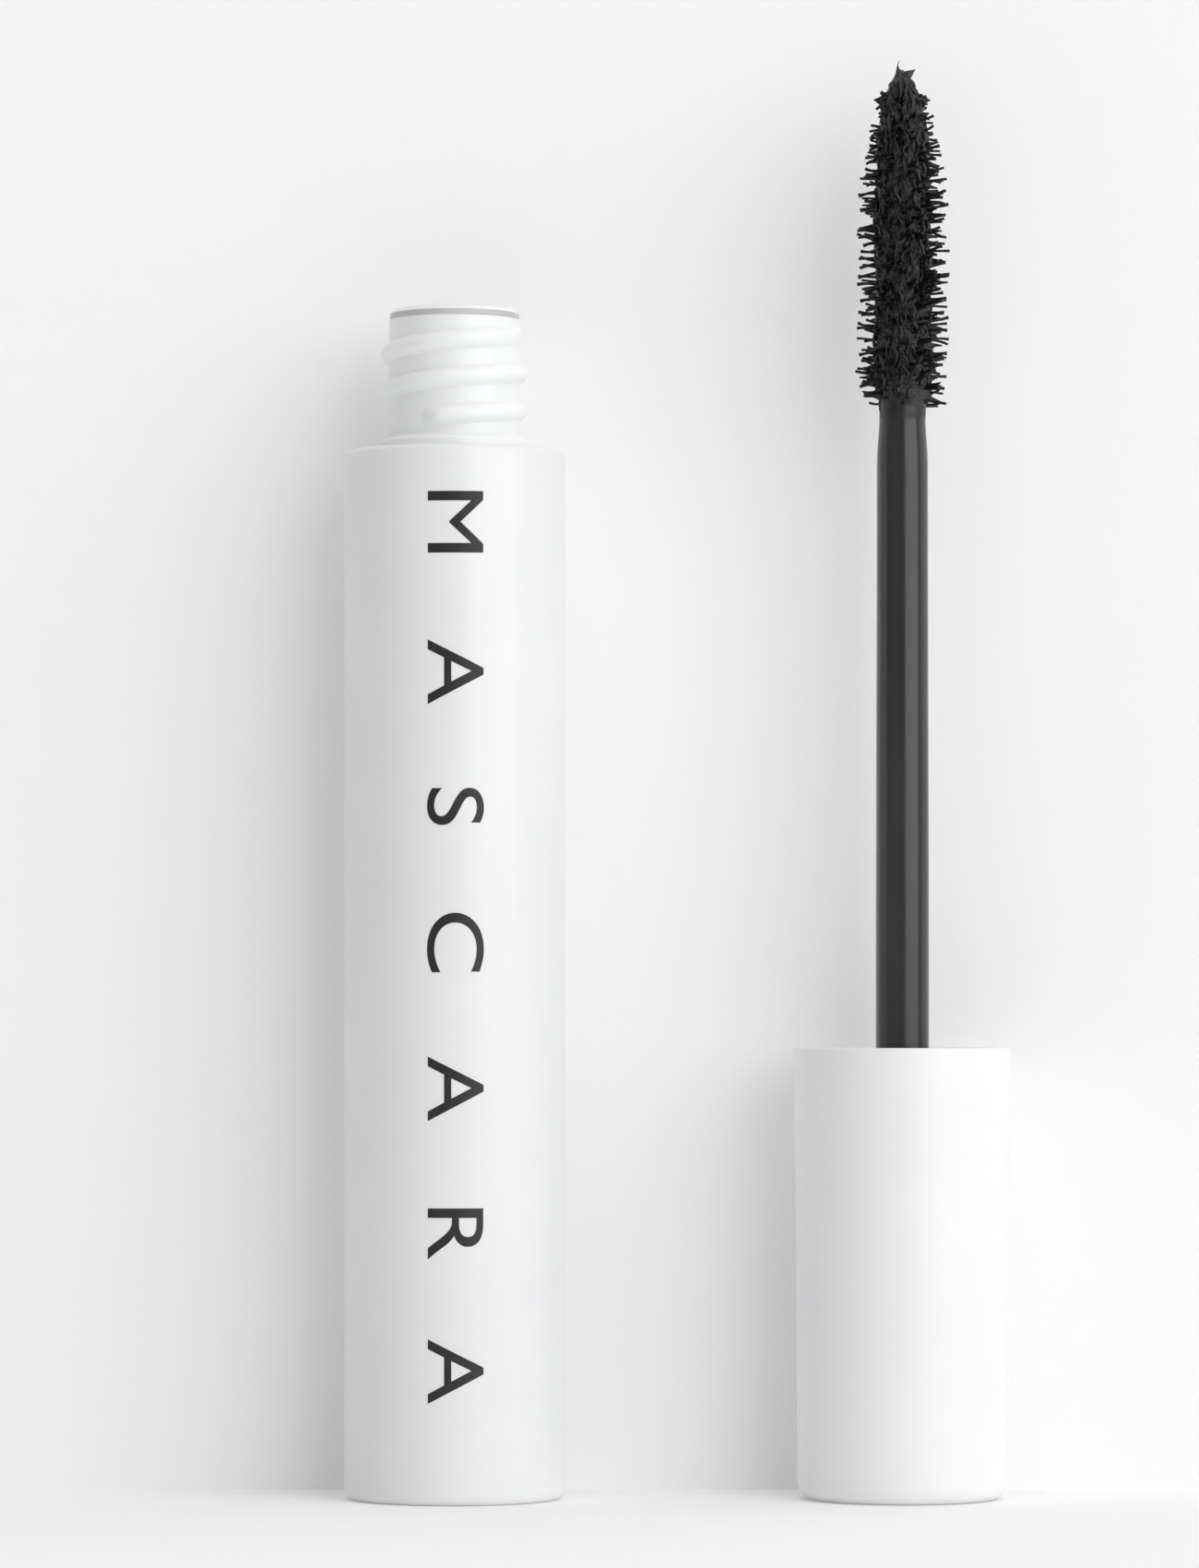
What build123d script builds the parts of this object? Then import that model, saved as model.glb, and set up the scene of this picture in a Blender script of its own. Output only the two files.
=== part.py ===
"""Mascara tube with its applicator taken out: a double-walled screw bottle, and a cap that carries a wand and brush.

Millimetres, +Z up.  The bottle stands on its base, with the origin at the centre of that base.  The applicator stands
beside it on its closed cap end, brush up, with its own axis CARRY_SPACING along +X.
"""

from build123d import *
import os

# ---------------------------------------------------------------- driving dimensions: bottle
BODY_R = 8.5                    # outside of the white sleeve
SHOULDER_Z = 80.4               # top face of the sleeve
RIM_Z = 91.26                   # top of the mouth, on the wiper's flange
BASE_EDGE_R = 1.2               # rounding round the foot
SHOULDER_EDGE_R = 0.7
SLEEVE_WALL = 1.0
SHOULDER_WALL = 1.1
FOOT_BORE_R = 6.6               # thick foot ring that holds the base plug
FOOT_H = 2.2
SLEEVE_RIBS = 6                 # upright ribs in the sleeve that centre the vial
SLEEVE_RIB_W = 0.8
SLEEVE_RIB_FOOT_Z = 10.0
SLEEVE_RIB_L = 58.0
SNAP_Z = 1.0                    # middle of the base plug's snap bead
SNAP_BEAD = 0.12
PLUG_H = 1.6
LABEL_R = 5.8
LABEL_T = 0.12
NECK_R = 5.02
NECK_BORE_R = 4.1
COLLAR_R = 5.78                 # snap collar that sits on the sleeve's shoulder
COLLAR_H = 0.88
COLLAR_OVERLAP = 0.13           # how far the collar lies on the shoulder
VIAL_R = 6.9
VIAL_WALL = 0.95
VIAL_FLOOR_Z = 2.24
WIPER_FLANGE_H = 0.75
WIPER_BORE_R = 3.5
WIPER_LIP_R = 2.1
WIPER_LIP_Z = 79.6
WIPER_CONE_H = 5.0
PRODUCT_LEVEL_Z = 62.0
WELL_R = 3.95                   # hollow that the brush leaves in the thick product
WELL_FLOOR_T = 1.4

# ---------------------------------------------------------------- driving dimensions: right-hand thread
LEAD = 2.85                     # rise in one turn
SCREW_TURNS = 1.5               # from seated to free
MALE_RIDGE_R = 0.62             # both threads are half-round ridges
MALE_HELIX_R = 4.99
MALE_START_DEG = -108.0         # angle about the bottle's axis, from +X
MALE_START_Z = 82.72
MALE_TURNS = 2.3
FEMALE_RIDGE_R = 0.60
FEMALE_HELIX_R = 5.89
FEMALE_TOP_DEG = 690.0          # the stretch of the neck's helix that the cap's ridge lies along when it is seated
FEMALE_BOTTOM_DEG = 300.0
FLANK_OFFSET = 0.96             # the cap's ridge seats this far under the neck's

# ---------------------------------------------------------------- driving dimensions: applicator
CARRY_SPACING = 34.4            # bottle axis to applicator axis
CAP_H = 34.66
CAP_RIM_R = 8.33
CAP_END_R = 8.06
CAP_EDGE_R = 1.3
CAP_WALL = 1.1
CAP_END_WALL = 1.3
SEATED_GAP = 0.1                # seated cap rim to the sleeve's shoulder
SKIRT_R = 6.9
SKIRT_BORE_R = 5.86
SKIRT_FOOT_Z = 14.0
SKIRT_TOP_Z = 33.6
SKIRT_RIBS = 18                 # upright ribs that key the liner in the shell
SKIRT_RIB_W = 0.7
SEAT_Z = 22.9                   # face inside the cap that the seal ring sits on
SEAT_WEB = 1.4
HUB_R = 3.3
HUB_FOOT_Z = 7.5
STEM_ROOT_R = 2.04
STEM_TIP_R = 1.96
STEM_NOSE_R = 1.76
STEM_ROOT_Z = 8.6
STEM_TAPER_Z = 40.0             # the stem is straight below this and tapers above it
STEM_NOSE_Z = 79.5              # and draws in faster above this
STEM_TIP_Z = 83.8
WIRE_R = 0.32
WIRE_HELIX_R = 0.33
WIRE_PITCH = 3.4
WIRE_FOOT_Z = 72.2
BRUSH_FOOT_Z = 84.1
BRUSH_TIP_Z = 108.9
BRUSH_FOOT_R = 2.5
BRUSH_R = 3.5
BRUSH_FULL_Z = 91.0             # height of its widest place
STEM_RING = (2.2, 83.2)         # radius and height of the ring of product under the brush
STEM_RING_HALF = (0.18, 0.62)
TIP_RING = (2.05, 107.6)        # and of the ring of product round the tip
TIP_RING_HALF = (0.32, 0.5)

# ---------------------------------------------------------------- worked out
CLOSED_H = SHOULDER_Z + SEATED_GAP + CAP_H      # the closed tube's height, so where the seated cap's end is
VIAL_TOP_Z = RIM_Z - WIPER_FLANGE_H
SLEEVE_BORE_R = BODY_R - SLEEVE_WALL
CAVITY_R = VIAL_R - VIAL_WALL
CAVITY_FLOOR_Z = VIAL_FLOOR_Z + 1.0
SHOULDER_HOLE_R = COLLAR_R - COLLAR_OVERLAP
SHELL_BORE_R = CAP_RIM_R - CAP_WALL
FIT = 0.02                      # gap between pieces that are pressed or snapped together
APPLICATOR_AXIS = Axis((CARRY_SPACING, 0, 0), (0, 0, 1))
APPLICATOR_SECTION = Plane(origin=(CARRY_SPACING, 0, 0), x_dir=(1, 0, 0), z_dir=(0, -1, 0))


def applicator_level(height):
    """Horizontal plane on the applicator's axis."""
    return Plane(origin=(CARRY_SPACING, 0, height))


def neck_helix_z(angle_deg):
    """Height of the neck's ridge at an angle about the bottle's axis."""
    return MALE_START_Z + LEAD * (angle_deg - MALE_START_DEG) / 360


def thread_ridge(ridge_r, helix_r, turns, foot):
    """Half-round helical ridge with rounded ends, whose helix starts along the X axis of the plane foot."""
    with BuildPart() as ridge:
        with BuildLine() as path:
            Helix(pitch=LEAD, height=LEAD * turns, radius=helix_r)
        with BuildSketch(Plane(origin=path.line @ 0, z_dir=path.line % 0)):
            Circle(ridge_r)
        sweep(path=path.line, is_frenet=True)
        with Locations(path.line @ 0, path.line @ 1):
            Sphere(ridge_r)
    return foot * ridge.part


os.makedirs("parts", exist_ok=True)

# ================================================================ bottle
# White outer tube: an inturned shoulder at the top, a thick foot ring below, and six ribs that centre the vial.
rib_depth = SLEEVE_BORE_R - VIAL_R - 4 * FIT
with BuildPart() as outer_sleeve:
    with BuildSketch(Plane.XZ) as sleeve_wall:
        with BuildLine():
            Polyline(
                (FOOT_BORE_R, 0), (BODY_R, 0), (BODY_R, SHOULDER_Z), (SHOULDER_HOLE_R, SHOULDER_Z),
                (SHOULDER_HOLE_R, SHOULDER_Z - SHOULDER_WALL), (SLEEVE_BORE_R, SHOULDER_Z - SHOULDER_WALL),
                (SLEEVE_BORE_R, FOOT_H + 0.5), (SLEEVE_BORE_R - 0.5, FOOT_H), (FOOT_BORE_R, FOOT_H),
                (FOOT_BORE_R, SNAP_Z + 0.25), (FOOT_BORE_R + SNAP_BEAD + 0.03, SNAP_Z),
                (FOOT_BORE_R, SNAP_Z - 0.25), close=True,
            )
        make_face()
        corners = sleeve_wall.vertices().group_by(Axis.X)[-1].sort_by(Axis.Y)
        fillet(corners[0], BASE_EDGE_R)
        fillet(corners[1], SHOULDER_EDGE_R)
    revolve(axis=Axis.Z)
    with BuildSketch(Plane.XY.offset(SLEEVE_RIB_FOOT_Z)):
        with PolarLocations(SLEEVE_BORE_R - rib_depth / 2 + 0.05, SLEEVE_RIBS):
            Rectangle(rib_depth + 0.1, SLEEVE_RIB_W)
    extrude(amount=SLEEVE_RIB_L)
outer_sleeve.part.label = "outer_sleeve"
export_step(outer_sleeve.part, "parts/outer_sleeve.step")

# Disc snapped into the foot ring, with a shallow recess for the sticker.
plug_r = FOOT_BORE_R - FIT
with BuildPart() as base_plug:
    with BuildSketch(Plane.XZ):
        with BuildLine():
            Polyline(
                (0, LABEL_T + FIT), (LABEL_R + 0.1, LABEL_T + FIT), (LABEL_R + 0.1, 0), (plug_r - 0.15, 0),
                (plug_r, 0.15), (plug_r, SNAP_Z - 0.2), (plug_r + SNAP_BEAD, SNAP_Z), (plug_r, SNAP_Z + 0.2),
                (plug_r, PLUG_H - 0.15), (plug_r - 0.15, PLUG_H), (0, PLUG_H), close=True,
            )
        make_face()
    revolve(axis=Axis.Z)
base_plug.part.label = "base_plug"
export_step(base_plug.part, "parts/base_plug.step")

# Round paper sticker in the plug's recess.
with BuildPart() as base_label:
    with BuildSketch(Plane.XY):
        Circle(LABEL_R)
    extrude(amount=LABEL_T)
base_label.part.label = "base_label"
export_step(base_label.part, "parts/base_label.step")

# Translucent vial that holds the product, with the snap collar and the threaded neck.
under_shoulder = SHOULDER_Z - SHOULDER_WALL - 0.03
shoulder_bore_r = COLLAR_R - 0.18
collar_z = SHOULDER_Z + FIT
neck_foot = Plane.XY.offset(MALE_START_Z).rotated((0, 0, MALE_START_DEG))
neck_ridge = thread_ridge(MALE_RIDGE_R, MALE_HELIX_R, MALE_TURNS, neck_foot)
with BuildPart() as inner_vial:
    with BuildSketch(Plane.XZ) as vial_wall:
        with BuildLine():
            Polyline(
                (0, VIAL_FLOOR_Z), (VIAL_R, VIAL_FLOOR_Z), (VIAL_R, under_shoulder - 0.8),
                (VIAL_R - 0.8, under_shoulder), (shoulder_bore_r, under_shoulder), (shoulder_bore_r, collar_z),
                (COLLAR_R, collar_z), (COLLAR_R, collar_z + COLLAR_H - 0.25),
                (COLLAR_R - 0.25, collar_z + COLLAR_H), (NECK_R, collar_z + COLLAR_H),
                (NECK_R, VIAL_TOP_Z), (NECK_BORE_R, VIAL_TOP_Z),
                (NECK_BORE_R, under_shoulder - 0.6), (CAVITY_R, under_shoulder - 2.6),
                (CAVITY_R, CAVITY_FLOOR_Z), (0, CAVITY_FLOOR_Z), close=True,
            )
        make_face()
        low_corners = vial_wall.vertices().filter_by_position(Axis.Y, 0, CAVITY_FLOOR_Z + 0.1)
        fillet([corner for corner in low_corners if corner.X > 1], 0.8)
    revolve(axis=Axis.Z)
    add(neck_ridge)
inner_vial.part.label = "inner_vial"
export_step(inner_vial.part, "parts/inner_vial.step")

# Soft insert in the neck: a flange on the rim, a guide tube, and a cone down to the lip that wipes the stem.
wiper_tube_r = NECK_BORE_R - FIT
cone_top_z = WIPER_LIP_Z + WIPER_CONE_H
with BuildPart() as wiper:
    with BuildSketch(Plane.XZ) as wiper_section:
        with BuildLine():
            Polyline(
                (WIPER_BORE_R + 0.5, RIM_Z), (NECK_R - FIT, RIM_Z), (NECK_R - FIT, VIAL_TOP_Z),
                (wiper_tube_r, VIAL_TOP_Z), (wiper_tube_r, cone_top_z), (WIPER_LIP_R + 0.7, WIPER_LIP_Z),
                (WIPER_LIP_R, WIPER_LIP_Z), (WIPER_LIP_R, WIPER_LIP_Z + 0.5),
                (WIPER_BORE_R, cone_top_z + 0.8), (WIPER_BORE_R, RIM_Z - 0.9), close=True,
            )
        make_face()
        fillet(wiper_section.vertices().group_by(Axis.Y)[-1], 0.18)
    revolve(axis=Axis.Z)
wiper.part.label = "wiper"
export_step(wiper.part, "parts/wiper.step")

# The product: a thick lining of the vial, with the well that the brush has left down its middle.
bulk_r, bulk_floor_z = CAVITY_R - FIT, CAVITY_FLOOR_Z + FIT
bulk_chamfer, well_floor_z = 1.0, CAVITY_FLOOR_Z + WELL_FLOOR_T
with BuildPart() as mascara_bulk:
    with BuildSketch(Plane.XZ):
        with BuildLine():
            Polyline(
                (0, bulk_floor_z), (bulk_r - bulk_chamfer, bulk_floor_z), (bulk_r, bulk_floor_z + bulk_chamfer),
                (bulk_r, PRODUCT_LEVEL_Z), (WELL_R + 0.6, PRODUCT_LEVEL_Z - 0.8),
                (WELL_R, PRODUCT_LEVEL_Z - 2.5), (WELL_R, well_floor_z + 0.8), (WELL_R - 1.0, well_floor_z),
                (0, well_floor_z), close=True,
            )
        make_face()
    revolve(axis=Axis.Z)
mascara_bulk.part.label = "mascara_bulk"
export_step(mascara_bulk.part, "parts/mascara_bulk.step")

# ================================================================ applicator
# White outer cap with a little draft, closed at the bottom and open at the top.
with BuildPart() as cap_shell:
    with BuildSketch(APPLICATOR_SECTION) as shell_wall:
        with BuildLine():
            Polyline(
                (0, 0), (CAP_END_R, 0), (CAP_RIM_R, CAP_H), (SHELL_BORE_R, CAP_H), (SHELL_BORE_R, 11),
                (SHELL_BORE_R - 0.6, 10), (SHELL_BORE_R - 0.6, CAP_END_WALL), (0, CAP_END_WALL), close=True,
            )
        make_face()
        fillet(shell_wall.vertices().group_by(Axis.Y)[0].sort_by(Axis.X)[-1], CAP_EDGE_R)
        fillet(shell_wall.vertices().group_by(Axis.Y)[-1], 0.18)
    revolve(axis=APPLICATOR_AXIS)
cap_shell.part.label = "cap_shell"
export_step(cap_shell.part, "parts/cap_shell.step")

# Translucent liner pressed into the shell: the threaded skirt, the seat, and the hub that grips the stem.
stem_socket_r = STEM_ROOT_R + FIT
rib_foot_r, rib_crest_r = SKIRT_R - 0.1, SHELL_BORE_R - 2.5 * FIT
skirt_turn = 180 - FEMALE_TOP_DEG - 360 * SCREW_TURNS
skirt_ridge_z = CLOSED_H + FLANK_OFFSET - neck_helix_z(FEMALE_TOP_DEG)
skirt_ridge_foot = applicator_level(skirt_ridge_z).rotated((0, 0, skirt_turn))
skirt_ridge_turns = (FEMALE_TOP_DEG - FEMALE_BOTTOM_DEG) / 360
skirt_ridge = thread_ridge(FEMALE_RIDGE_R, FEMALE_HELIX_R, skirt_ridge_turns, skirt_ridge_foot)
with BuildPart() as inner_cap:
    with BuildSketch(APPLICATOR_SECTION):
        with BuildLine():
            Polyline(
                (0, HUB_FOOT_Z), (HUB_R, HUB_FOOT_Z), (HUB_R, SEAT_Z - SEAT_WEB),
                (SKIRT_R - 0.9, SEAT_Z - SEAT_WEB), (SKIRT_R - 0.9, SKIRT_FOOT_Z), (SKIRT_R, SKIRT_FOOT_Z),
                (SKIRT_R, SKIRT_TOP_Z), (SKIRT_BORE_R + 0.35, SKIRT_TOP_Z), (SKIRT_BORE_R, SKIRT_TOP_Z - 0.5),
                (SKIRT_BORE_R, SEAT_Z), (stem_socket_r, SEAT_Z), (stem_socket_r, STEM_ROOT_Z - FIT),
                (0, STEM_ROOT_Z - FIT), close=True,
            )
        make_face()
    revolve(axis=APPLICATOR_AXIS)
    with BuildSketch(applicator_level(SKIRT_FOOT_Z + 1)):
        with PolarLocations((rib_foot_r + rib_crest_r) / 2, SKIRT_RIBS):
            Rectangle(rib_crest_r - rib_foot_r, SKIRT_RIB_W)
    extrude(amount=SKIRT_TOP_Z - SKIRT_FOOT_Z - 3)
    add(skirt_ridge)
inner_cap.part.label = "inner_cap"
export_step(inner_cap.part, "parts/inner_cap.step")

# Elastomer ring round the stem, squeezed between the bottle's rim and the seat in the cap.
seal_gap = 0.04
seal_h = CLOSED_H - RIM_Z - SEAT_Z - 2 * seal_gap
seal_inner_r, seal_outer_r = STEM_ROOT_R + 0.06, NECK_R - 0.1
with BuildPart() as seal_ring:
    with BuildSketch(APPLICATOR_SECTION):
        with Locations(((seal_inner_r + seal_outer_r) / 2, SEAT_Z + seal_gap + seal_h / 2)):
            RectangleRounded(seal_outer_r - seal_inner_r, seal_h, 0.2)
    revolve(axis=APPLICATOR_AXIS)
seal_ring.part.label = "seal_ring"
export_step(seal_ring.part, "parts/seal_ring.step")

# Black stem: pressed into the hub, drawn in slightly at its top, and bored for the brush wire.
with BuildPart() as wand_stem:
    with BuildSketch(APPLICATOR_SECTION):
        with BuildLine():
            Polyline(
                (0, STEM_ROOT_Z), (STEM_ROOT_R - 0.3, STEM_ROOT_Z), (STEM_ROOT_R, STEM_ROOT_Z + 0.3),
                (STEM_ROOT_R, STEM_TAPER_Z), (STEM_TIP_R, STEM_NOSE_Z), (STEM_NOSE_R, STEM_TIP_Z - 0.6),
                (STEM_NOSE_R - 0.3, STEM_TIP_Z), (0, STEM_TIP_Z), close=True,
            )
        make_face()
    revolve(axis=APPLICATOR_AXIS)
    with Locations((CARRY_SPACING, 0, STEM_TIP_Z)):
        Hole(WIRE_HELIX_R + WIRE_R + FIT, STEM_TIP_Z - WIRE_FOOT_Z)
wand_stem.part.label = "wand_stem"
export_step(wand_stem.part, "parts/wand_stem.step")

# Steel wire folded double and twisted, staked in the stem's bore.
wire_length = BRUSH_TIP_Z - 0.4 - WIRE_FOOT_Z
with BuildPart() as wire_strand:
    with BuildLine() as strand_path:
        Helix(pitch=WIRE_PITCH, height=wire_length, radius=WIRE_HELIX_R)
    with BuildSketch(Plane(origin=strand_path.line @ 0, z_dir=strand_path.line % 0)):
        Circle(WIRE_R)
    sweep(path=strand_path.line, is_frenet=True)
with BuildPart() as brush_wire:
    with Locations((CARRY_SPACING, 0, WIRE_FOOT_Z + 0.35)):
        with PolarLocations(0, 2):
            add(wire_strand.part)
brush_wire.part.label = "brush_wire"
export_step(brush_wire.part, "parts/brush_wire.step")

# Outer shape of the bristle pack: full over its lower half, then tapering to the tip.
wire_clear_r = WIRE_HELIX_R + WIRE_R + 2 * FIT
with BuildPart() as bristles:
    with BuildSketch(APPLICATOR_SECTION):
        with BuildLine():
            Line((wire_clear_r, BRUSH_FOOT_Z), (BRUSH_FOOT_R, BRUSH_FOOT_Z))
            Spline(
                (BRUSH_FOOT_R, BRUSH_FOOT_Z), (BRUSH_R - 0.15, BRUSH_FOOT_Z + 2), (BRUSH_R, BRUSH_FULL_Z),
                (BRUSH_R - 0.25, BRUSH_FULL_Z + 6.5), (BRUSH_R - 1.15, BRUSH_TIP_Z - 5.4),
                (BRUSH_R - 2.0, BRUSH_TIP_Z - 1.9), (wire_clear_r + 0.3, BRUSH_TIP_Z),
            )
            Polyline((wire_clear_r + 0.3, BRUSH_TIP_Z), (wire_clear_r, BRUSH_TIP_Z), (wire_clear_r, BRUSH_FOOT_Z))
        make_face()
    revolve(axis=APPLICATOR_AXIS)
bristles.part.label = "bristles"
export_step(bristles.part, "parts/bristles.step")

# Ring of product that has run down round the top of the stem, under the brush.
with BuildPart() as stem_product:
    with BuildSketch(APPLICATOR_SECTION):
        with Locations(STEM_RING):
            Ellipse(*STEM_RING_HALF)
    revolve(axis=APPLICATOR_AXIS)
stem_product.part.label = "stem_product"
export_step(stem_product.part, "parts/stem_product.step")

# Ring of excess product round the tip, which the wiper strips off when the brush goes back in.
with BuildPart() as tip_product:
    with BuildSketch(APPLICATOR_SECTION):
        with Locations(TIP_RING):
            Ellipse(*TIP_RING_HALF)
    revolve(axis=APPLICATOR_AXIS)
tip_product.part.label = "tip_product"
export_step(tip_product.part, "parts/tip_product.step")
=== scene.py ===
"""Looks of the mascara tube, around the CAD frame: studio, materials, turned pieces, printed word, brush."""

import math
import random

import bpy
import bmesh
from mathutils import Matrix, Vector, noise


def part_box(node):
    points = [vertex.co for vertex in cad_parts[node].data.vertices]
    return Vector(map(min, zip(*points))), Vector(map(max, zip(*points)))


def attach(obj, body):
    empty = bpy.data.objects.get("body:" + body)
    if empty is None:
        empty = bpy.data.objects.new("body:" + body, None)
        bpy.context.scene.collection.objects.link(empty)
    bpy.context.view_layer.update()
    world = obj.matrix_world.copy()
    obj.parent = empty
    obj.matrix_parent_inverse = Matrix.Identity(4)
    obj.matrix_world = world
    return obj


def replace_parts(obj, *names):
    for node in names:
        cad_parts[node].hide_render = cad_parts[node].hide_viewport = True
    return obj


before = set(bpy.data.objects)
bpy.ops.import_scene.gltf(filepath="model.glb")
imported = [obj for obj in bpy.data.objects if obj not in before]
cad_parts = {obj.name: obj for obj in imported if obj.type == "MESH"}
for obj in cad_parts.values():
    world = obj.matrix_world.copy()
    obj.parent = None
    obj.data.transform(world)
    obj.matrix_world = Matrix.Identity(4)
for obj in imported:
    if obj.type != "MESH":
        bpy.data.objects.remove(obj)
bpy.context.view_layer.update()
random.seed(41)
noise.seed_set(41)  # noise_vector is seeded from the clock without this

MM = 0.001

# ---------------------------------------------------------------- places, from the frame
SLEEVE_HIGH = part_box("outer_sleeve")[1]
VIAL_LOW, VIAL_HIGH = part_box("inner_vial")
CAP_LOW, CAP_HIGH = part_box("cap_shell")
STEM_LOW, STEM_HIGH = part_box("wand_stem")
PACK_LOW, PACK_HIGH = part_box("bristles")
DROP_LOW, DROP_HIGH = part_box("tip_product")
SMEAR_LOW, SMEAR_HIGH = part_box("stem_product")
BODY_R = SLEEVE_HIGH.x
WAND_X = (CAP_LOW.x + CAP_HIGH.x) / 2
PACK_R = (PACK_HIGH.x - PACK_LOW.x) / 2
STEM_R = (STEM_HIGH.x - STEM_LOW.x) / 2


# ================================================================ studio
def aim(obj, target):
    """Turns a light to face a point."""
    obj.rotation_euler = (Vector(target) - obj.location).to_track_quat("-Z", "Y").to_euler()


CAMERA_DISTANCE = 502 * MM
CAMERA_HEIGHT = 37.2 * MM
CAMERA_SHIFT_UP = 0.147
CAMERA_SIDE_SHARE = 0.3235      # how far along from the bottle's axis to the wand's


def make_camera():
    """Level telephoto camera, a little above the table, between the two objects."""
    data = bpy.data.cameras.new("camera")
    camera = bpy.data.objects.new("camera", data)
    bpy.context.scene.collection.objects.link(camera)
    data.lens = 150
    data.sensor_width = 36
    data.shift_y = CAMERA_SHIFT_UP
    data.clip_start = 0.01
    camera.location = (WAND_X * CAMERA_SIDE_SHARE, -CAMERA_DISTANCE, CAMERA_HEIGHT)
    camera.rotation_euler = (math.radians(90), 0, 0)
    bpy.context.scene.camera = camera


def area_light(name, location, target, size, power):
    data = bpy.data.lights.new(name, "AREA")
    data.shape = "RECTANGLE"
    data.size, data.size_y = size
    data.energy = power
    light = bpy.data.objects.new(name, data)
    light.location = location
    bpy.context.scene.collection.objects.link(light)
    aim(light, target)


SURROUND = 0.235                # strength of the pale surround
SURROUND_BEHIND_CAMERA = 0.03


def make_lights():
    """Wide soft key from the front right, weak fill from above, and a surround, dark behind the camera."""
    middle = (WAND_X / 2, 0, SLEEVE_HIGH.z * 0.6)
    area_light("key", (0.92, -1.05, 0.34), middle, (1.6, 1.6), 16.8)
    area_light("top", (0.1, -0.35, 0.85), middle, (0.8, 0.6), 2.0)
    world = bpy.data.worlds.new("surround")
    world.use_nodes = True
    nodes, links = world.node_tree.nodes, world.node_tree.links
    heading = nodes.new("ShaderNodeTexCoord")
    toward_front = nodes.new("ShaderNodeVectorMath")
    toward_front.operation = "DOT_PRODUCT"
    toward_front.inputs[1].default_value = (-0.05, -1, 0)
    shade = nodes.new("ShaderNodeMapRange")
    shade.interpolation_type = "SMOOTHSTEP"
    shade.inputs["From Min"].default_value = 0.93
    shade.inputs["From Max"].default_value = 0.985
    shade.inputs["To Min"].default_value = SURROUND
    shade.inputs["To Max"].default_value = SURROUND_BEHIND_CAMERA
    links.new(heading.outputs["Generated"], toward_front.inputs[0])
    links.new(toward_front.outputs["Value"], shade.inputs["Value"])
    links.new(shade.outputs["Result"], nodes["Background"].inputs["Strength"])
    nodes["Background"].inputs["Color"].default_value = (1.0, 1.0, 1.0, 1)
    bpy.context.scene.world = world
    bpy.context.scene.view_settings.view_transform = "Standard"


def plane(name, corners):
    mesh = bpy.data.meshes.new(name)
    mesh.from_pydata(corners, [], [(0, 1, 2, 3)])
    obj = bpy.data.objects.new(name, mesh)
    bpy.context.scene.collection.objects.link(obj)
    return obj


def glowing_paper(name, level, glow):
    """Matt paper that gives off a little light of its own, which keeps its shadows pale."""
    return material(name, (level, level, level), roughness=0.9, Emission_Color=(1, 1, 1, 1),
                    Emission_Strength=glow)


def make_stage():
    """Pale table, and a pale card close behind that is seen only from its front."""
    wide, deep, tall = 2.0, 2.0, 3.0
    card_y = BODY_R + 1.0 * MM
    table = plane("table", [(-wide, -deep, 0), (wide, -deep, 0), (wide, deep, 0), (-wide, deep, 0)])
    card = plane("card", [(-wide, card_y, 0), (wide, card_y, 0), (wide, card_y, tall), (-wide, card_y, tall)])
    table.data.materials.append(glowing_paper("table_paper", 0.86, 0.12))
    paper = glowing_paper("card_paper", 0.88, 0.08)
    nodes, links = paper.node_tree.nodes, paper.node_tree.links
    geometry = nodes.new("ShaderNodeNewGeometry")
    clear = nodes.new("ShaderNodeBsdfTransparent")
    mix = nodes.new("ShaderNodeMixShader")
    links.new(geometry.outputs["Backfacing"], mix.inputs["Fac"])
    links.new(nodes["Principled BSDF"].outputs["BSDF"], mix.inputs[1])
    links.new(clear.outputs["BSDF"], mix.inputs[2])
    links.new(mix.outputs["Shader"], nodes["Material Output"].inputs["Surface"])
    card.data.materials.append(paper)


# ================================================================ materials
def material(name, color, roughness=0.4, **sockets):
    """Principled material with its constants set on its own sockets."""
    made = bpy.data.materials.new(name)
    made.use_nodes = True
    shader = made.node_tree.nodes["Principled BSDF"]
    shader.inputs["Base Color"].default_value = (*color, 1)
    shader.inputs["Roughness"].default_value = roughness
    for socket, value in sockets.items():
        shader.inputs[socket.replace("_", " ")].default_value = value
    return made


def add_noise(made, scale, detail=3.0, stretch=(1, 1, 1)):
    """Noise over object coordinates, in features per metre; returns its Fac output."""
    nodes, links = made.node_tree.nodes, made.node_tree.links
    place = nodes.new("ShaderNodeTexCoord")
    mapping = nodes.new("ShaderNodeMapping")
    mapping.inputs["Scale"].default_value = stretch
    texture = nodes.new("ShaderNodeTexNoise")
    texture.inputs["Scale"].default_value = scale
    texture.inputs["Detail"].default_value = detail
    links.new(place.outputs["Object"], mapping.inputs["Vector"])
    links.new(mapping.outputs["Vector"], texture.inputs["Vector"])
    return texture.outputs["Fac"]


def vary_color(made, fac, dark, light, low=0.3, high=0.7):
    nodes, links = made.node_tree.nodes, made.node_tree.links
    ramp = nodes.new("ShaderNodeValToRGB")
    ramp.color_ramp.elements[0].position = low
    ramp.color_ramp.elements[0].color = (*dark, 1)
    ramp.color_ramp.elements[1].position = high
    ramp.color_ramp.elements[1].color = (*light, 1)
    links.new(fac, ramp.inputs["Fac"])
    links.new(ramp.outputs["Color"], nodes["Principled BSDF"].inputs["Base Color"])


def vary_roughness(made, fac, low, high):
    nodes, links = made.node_tree.nodes, made.node_tree.links
    span = nodes.new("ShaderNodeMapRange")
    span.inputs["To Min"].default_value = low
    span.inputs["To Max"].default_value = high
    links.new(fac, span.inputs["Value"])
    links.new(span.outputs["Result"], nodes["Principled BSDF"].inputs["Roughness"])


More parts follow.
